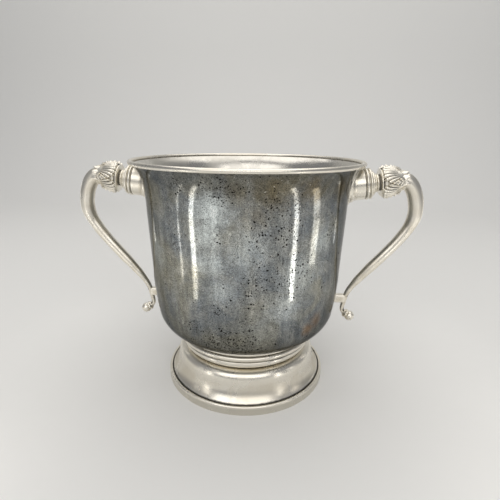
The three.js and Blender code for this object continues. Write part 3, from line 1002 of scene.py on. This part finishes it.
def leaf(centre_turn):
    """One acanthus leaf: rounded ribs that fan out from the grip, each ending in a turned-up bead."""
    h = settings("cup_handle")
    bm = bmesh.new()
    bmesh.ops.create_grid(bm, x_segments=168, y_segments=40, size=1.0)
    root = h.cap_end + 4.6 * MM
    leaf_length = root - h.neck_end - 0.2 * MM
    half_width = 9.3 * MM
    squareness = 3.4
    for vert in bm.verts:
        fan = vert.co.x * FAN_HALF_ANGLE
        reach = (vert.co.y + 1) / 2
        ahead, aside = math.cos(fan) / leaf_length, abs(math.sin(fan)) / half_width
        rib = abs(math.cos(vert.co.x * LEAF_RIBS * math.pi / 2)) ** 0.6
        edge = (ahead ** squareness + aside ** squareness) ** (-1 / squareness) * (0.93 + 0.07 * rib)
        radial = edge * (0.36 + 0.64 * reach)
        along = radial * math.cos(fan)
        sideways = radial * math.sin(fan)
        distance = root - along
        body = cap_body_radius(distance)
        tip = smoothstep(reach, 0.92, 1.0)
        bead = smoothstep(reach, 0.80, 0.92) * (1 - tip)
        rib_height = (1.05 * rib - 0.5) * smoothstep(reach, 0.05, 0.45)
        rise = 0.5 + 0.9 * smoothstep(reach, 0.3, 0.85) + 0.8 * bead * rib - 0.7 * tip
        turn = centre_turn + sideways / max(body, 7 * MM)
        vert.co = on_cap(distance, turn, body + (rise + rib_height) * MM)
    return shell_of(bm, 0.6 * MM)


def sepal(centre_turn):
    """A small pointed leaf that lies on the grip where it leaves the cap."""
    h = settings("cup_handle")
    bm = bmesh.new()
    bmesh.ops.create_grid(bm, x_segments=12, y_segments=16, size=1.0)
    start, end = h.cap_end - 2.5 * MM, h.cap_end + 4.6 * MM
    half_width = 2.5 * MM
    for vert in bm.verts:
        reach = (vert.co.y + 1) / 2
        distance = start + (end - start) * reach
        width = half_width * math.sqrt(max(1 - reach ** 2.4, 0.0)) + 0.05 * MM
        crown = 0.45 * (1 - vert.co.x ** 2) + 0.25 * (1 - abs(vert.co.x))
        radius = h.spigot_radius + (0.9 - 0.75 * reach + crown) * MM
        vert.co = on_cap(distance, centre_turn + vert.co.x * width / radius, radius)
    return shell_of(bm, 0.5 * MM)


def merge_into(target, source):
    mesh = bpy.data.meshes.new("merge")
    source.to_mesh(mesh)
    source.free()
    target.from_mesh(mesh)
    bpy.data.meshes.remove(mesh)


class CUP_OT_leaf_caps(Operator):
    """Chase four acanthus leaves round each cap"""

    bl_idname = "cup.leaf_caps"
    bl_label = "Leaf caps"

    def execute(self, context):
        for side in SIDES:
            bm = cap_body()
            for i in range(LEAVES):
                merge_into(bm, leaf(math.tau * (i + 0.5) / LEAVES))
            for i in range(SEPALS):
                merge_into(bm, sepal(math.tau * (i + 0.5) / SEPALS))
            relief = {"reach": 16, "depth": 0.10 * MM, "crease": 60}
            finish_handle_piece(side, "acanthus_cap", bm, "leaf_cap", "chased_leaves", **relief)
        return {"FINISHED"}


# ---- Grips ----
def grip_route():
    """The grip's centre line: from inside the leaf cap over the bend, past the strut, to the tail's end."""
    h = settings("cup_handle")
    start, direction = socket_line()
    exit_point = start + direction * h.cap_end
    reach = GRIP_BOX[1].x - h.grip_radius
    widest = Vector((reach, 0, exit_point.z - h.bend_drop))
    strut_z = (STRUT_BOX[0].z + STRUT_BOX[1].z) / 2
    strut_end = Vector((radius_at(bowl_outline(), strut_z) + h.strut_length, 0, strut_z))
    fall = widest.z - strut_z
    tail_end = strut_end + Vector((h.tail_out, 0, -h.tail_drop))
    tail_direction = Vector((math.cos(h.tail_slope), 0, math.sin(h.tail_slope)))
    straight_tail = h.petal_length + 0.3 * MM
    curl_end = tail_end - tail_direction * straight_tail
    curl_lead = curl_end - tail_direction * straight_tail
    exit_lead = exit_point + direction * (reach - exit_point.x) * 0.5
    strut_lead = strut_end + Vector((1.5 * MM, 0, fall * 0.23))
    tail_lead = strut_end + Vector((-1 * MM, 0, -h.tail_drop * 0.4))
    stretches = (
        (exit_point, exit_lead, widest + UP * h.bend_drop * 0.6, widest, 24),
        (widest, widest - UP * fall * 0.3, strut_lead, strut_end, 48),
        (strut_end, tail_lead, curl_lead, curl_end, 14),
    )
    spigot = direction * 9 * MM
    points = [exit_point - spigot, exit_point - spigot / 2]
    for *corners, steps in stretches:
        flat = bezier(*((corner.x, corner.z) for corner in corners), steps)
        points.extend(Vector((p.x, 0, p.y)) for p in flat[(1 if len(points) > 2 else 0):])
    points.append(tail_end)
    return Route(points)


GRIP_STATIONS = (
    # share of the grip's length, radius in mm
    (0.00, 6.2), (0.065, 6.2), (0.19, 5.8), (0.28, 5.5), (0.38, 4.6), (0.50, 4.3),
    (0.64, 4.1), (0.74, 3.4), (0.82, 2.5), (0.88, 2.0), (1.00, 1.6),
)


def grip_radius_at(share_along):
    for (low, a), (high, b) in zip(GRIP_STATIONS, GRIP_STATIONS[1:]):
        if low <= share_along <= high:
            return (a + (b - a) * smoothstep(share_along, low, high)) * MM
    return GRIP_STATIONS[-1][1] * MM


def grip_piece(side):
    route = grip_route()
    stations = 130
    outline = [(0, 0)]
    outline += [(grip_radius_at(i / stations), route.length * i / stations) for i in range(stations + 1)]
    outline += [(0, route.length)]
    bm = turned(joined(outline), steps=64, closed=False)
    bend_along(bm, route)
    finish_handle_piece(side, "scroll_grip", bm, "grip")


def strut_piece(side):
    """The block between the bowl and the grip: square in section with softened edges."""
    low, high = STRUT_BOX
    wall = bowl_outline()
    bm = bmesh.new()
    bmesh.ops.create_cube(bm, size=1.0)
    bmesh.ops.bevel(bm, geom=bm.edges[:], offset=0.16, affect="EDGES", segments=4, profile=0.5, material=-1)
    long_edges = [edge for edge in bm.edges if edge.calc_length() > 0.4]
    bmesh.ops.subdivide_edges(bm, edges=long_edges, cuts=6, use_grid_fill=True)
    size = high - low
    centre = (low + high) / 2
    for vert in bm.verts:
        z = centre.z + vert.co.z * size.z
        y = centre.y + vert.co.y * size.y * 0.82
        inner = math.sqrt(radius_at(wall, z) ** 2 - y ** 2) + 0.1 * MM
        outer = high.x + 0.3 * MM
        vert.co = Vector((inner + (outer - inner) * (vert.co.x + 0.5), y, z))
    finish_handle_piece(side, "bowl_strut", bm, "strut")


def tail_route():
    route = grip_route()
    h = settings("cup_handle")
    end, along = route.at(route.length)
    return Route([end + along * (h.petal_length * (k - 1)) for k in range(5)])


PETALS = 5


def petal_piece(side):
    h = settings("cup_handle")
    bore = h.tail_radius + 0.1 * MM
    edge = (h.petal_radius, h.petal_length)
    shell = swept((bore + 0.5 * MM, 0), (0.4, 0.91), (0, -1.3), edge, 14)
    inside = [(h.petal_radius - 0.5 * MM, h.petal_length), (bore, h.petal_length * 0.8)]
    bm = turned(joined([(bore, 0)], shell, inside), steps=100, closed=True)
    for vert in bm.verts:
        turn = math.atan2(vert.co.y, vert.co.x)
        spread = math.hypot(vert.co.x, vert.co.y)
        flute = abs(math.cos(turn * PETALS / 2)) ** 0.5 - 0.7
        share_out = smoothstep(spread, bore + 0.3 * MM, h.petal_radius)
        factor = 1 + 0.16 * flute * share_out
        vert.co = Vector((vert.co.x * factor, vert.co.y * factor, vert.co.z + 0.5 * MM * flute * share_out))
    bend_along(bm, tail_route())
    finish_handle_piece(side, "petal_cup", bm, "petal_collar", reach=4)


def bud_piece(side):
    h = settings("cup_handle")
    start = h.petal_length + 0.1 * MM
    ball = arc((0, start + h.bud_radius * 0.88), h.bud_radius, -62, 90, 26)
    outline = joined([(0, ball[0].y)], ball)
    outline[-1].x = 0
    bm = turned(outline, steps=48, closed=False)
    bend_along(bm, tail_route())
    finish_handle_piece(side, "ball_bud", bm, "bud")


class CUP_OT_grips(Operator):
    """Cast the scroll grips with their struts, petal cups and ball buds"""

    bl_idname = "cup.grips"
    bl_label = "Grips"

    def execute(self, context):
        for side in SIDES:
            for make in (grip_piece, strut_piece, petal_piece, bud_piece):
                make(side)
        return {"FINISHED"}


# ---- Stage ----
# name, centre, aim, size in metres, power in watts, tint
SOFTBOXES = (
    ("top_softbox", (0.0, 0.1, 1.35), (0, 0, 0.1), (2.0, 1.5), 12.5, (1.0, 0.97, 0.92)),
    ("front_softbox", (0.0, -1.4, 0.95), (0, 0, 0.05), (2.6, 1.1), 13.0, (1.0, 0.97, 0.93)),
)
# name, azimuth in degrees, lower end, upper end and width in metres, radiance
STRIPS = (
    ("left_strip", -47.5, 0.0, 0.104, 0.021, 2.7),
    ("left_thin_strip", -63, 0.016, 0.100, 0.008, 2.0),
    ("right_strip", 50, 0.0, 0.104, 0.021, 2.7),
    ("right_soft_strip", 73, 0.036, 0.100, 0.036, 1.5),
    ("left_back_strip", -108, 0.06, 0.17, 0.010, 2.8),
    ("right_back_strip", 106, 0.06, 0.17, 0.010, 2.8),
)
STRIP_DISTANCE = 0.26
STRIP_TINT = (1.0, 0.96, 0.90)


def floor_material():
    pale = settings("cup_stage").floor_tint
    made, n, place = new_material("pale_floor")
    colour = n.mix(n.times(n.noise(place, 90.0, 3.0), 0.10), pale, shaded(pale, 0.85))
    principled(n, Base_Color=colour, Roughness=0.75, Specular_IOR_Level=0.2)
    return made


def add_floor():
    """A flat floor that sweeps up into a backdrop behind the cup."""
    front, back, wide, high, bend = -5.0, 1.2, 4.0, 1.8, 0.5
    section = joined([(front, 0)], arc((back - bend, bend), bend, -90, 0, 16), [(back, high)])
    bm = bmesh.new()
    verts = [bm.verts.new((-wide, y, z)) for y, z in section]
    edges = [bm.edges.new(pair) for pair in zip(verts, verts[1:])]
    drawn = bmesh.ops.extrude_edge_only(bm, edges=edges)["geom"]
    far_verts = [part for part in drawn if isinstance(part, bmesh.types.BMVert)]
    bmesh.ops.translate(bm, verts=far_verts, vec=(2 * wide, 0, 0))
    bmesh.ops.recalc_face_normals(bm, faces=bm.faces)
    if bm.faces[0].normal.z < 0:
        bmesh.ops.reverse_faces(bm, faces=bm.faces)
    mesh = bpy.data.meshes.new("floor")
    bm.to_mesh(mesh)
    bm.free()
    mesh.materials.append(floor_material())
    mesh.shade_smooth()
    floor = linked("floor", mesh)


def add_light(name, centre, aim, size, power, tint_rgb):
    lamp = bpy.data.lights.new(name, "AREA")
    lamp.shape = "RECTANGLE"
    lamp.size, lamp.size_y = size
    lamp.energy = power
    lamp.color = tint_rgb
    light = linked(name, lamp)
    light.location = centre
    light.rotation_euler = (Vector(aim) - Vector(centre)).to_track_quat("-Z", "Y").to_euler()
    light.visible_camera = False


def add_strip(name, azimuth, low, high, width, radiance):
    """An upright strip light. Its power follows from the brightness that it shows."""
    middle = (low + high) / 2
    tall = high - low
    power = radiance * math.pi * width * tall
    place = around(azimuth, STRIP_DISTANCE, middle)
    add_light(name, place, (0, 0, middle), (width, tall), power, STRIP_TINT)


def add_camera():
    s = settings("cup_stage")
    cos, sin = math.cos, math.sin
    level = cos(s.camera_pitch)
    forward = Vector((sin(s.camera_yaw) * level, cos(s.camera_yaw) * level, -sin(s.camera_pitch)))
    right = Vector((cos(s.camera_yaw), -sin(s.camera_yaw), 0))
    up = right.cross(forward)
    leaning_right = right * cos(s.camera_roll) + up * sin(s.camera_roll)
    leaning_up = up * cos(s.camera_roll) - right * sin(s.camera_roll)
    turn = Matrix.Rotation(s.camera_azimuth, 3, "Z")
    axes = Matrix((leaning_right, leaning_up, -forward)).transposed()
    place = turn @ Vector((0, -s.camera_distance, s.camera_height))
    data = bpy.data.cameras.new("camera")
    data.lens = s.lens
    data.sensor_width = 36
    data.clip_start = 0.01
    camera = linked("camera", data)
    camera.matrix_world = Matrix.Translation(place) @ (turn @ axes).to_4x4()
    bpy.context.scene.camera = camera


class CUP_OT_stage(Operator):
    """Set the pale floor, the soft studio light and the camera"""

    bl_idname = "cup.stage"
    bl_label = "Stage"

    def execute(self, context):
        look = settings("cup_stage")
        add_camera()
        add_floor()
        for softbox in SOFTBOXES:
            add_light(*softbox)
        for strip in STRIPS:
            add_strip(*strip)
        world = bpy.data.worlds.new("room")
        world.use_nodes = True
        world.node_tree.nodes["Background"].inputs["Color"].default_value = (*look.room_tint, 1.0)
        bpy.context.scene.world = world
        bpy.context.scene.view_settings.view_transform = "Standard"
        return {"FINISHED"}


# ---- Panel and registration ----
OPERATORS = (
    CUP_OT_stage, CUP_OT_bowl, CUP_OT_rim, CUP_OT_foot, CUP_OT_sockets, CUP_OT_leaf_caps, CUP_OT_grips,
)


class CUP_PT_panel(Panel):
    """Lists the cup's settings and the operators that make it"""

    bl_idname = "CUP_PT_panel"
    bl_label = "Presentation cup"
    bl_space_type = "VIEW_3D"
    bl_region_type = "UI"
    bl_category = "Cup"

    def draw(self, context):
        for name, kind in SETTINGS.items():
            box = self.layout.box()
            box.label(text=kind.__name__)
            for key in kind.__annotations__:
                box.prop(getattr(context.scene, name), key)
        for operator in OPERATORS:
            self.layout.operator(operator.bl_idname)


CLASSES = (*SETTINGS.values(), *OPERATORS, CUP_PT_panel)


def register():
    for cls in CLASSES:
        bpy.utils.register_class(cls)
    for name, kind in SETTINGS.items():
        setattr(bpy.types.Scene, name, PointerProperty(type=kind))


def unregister():
    for name in SETTINGS:
        delattr(bpy.types.Scene, name)
    for cls in reversed(CLASSES):
        bpy.utils.unregister_class(cls)


def main():
    register()
    for operator in OPERATORS:
        getattr(bpy.ops.cup, operator.bl_idname.split(".")[1])()


if __name__ == "__main__":
    main()
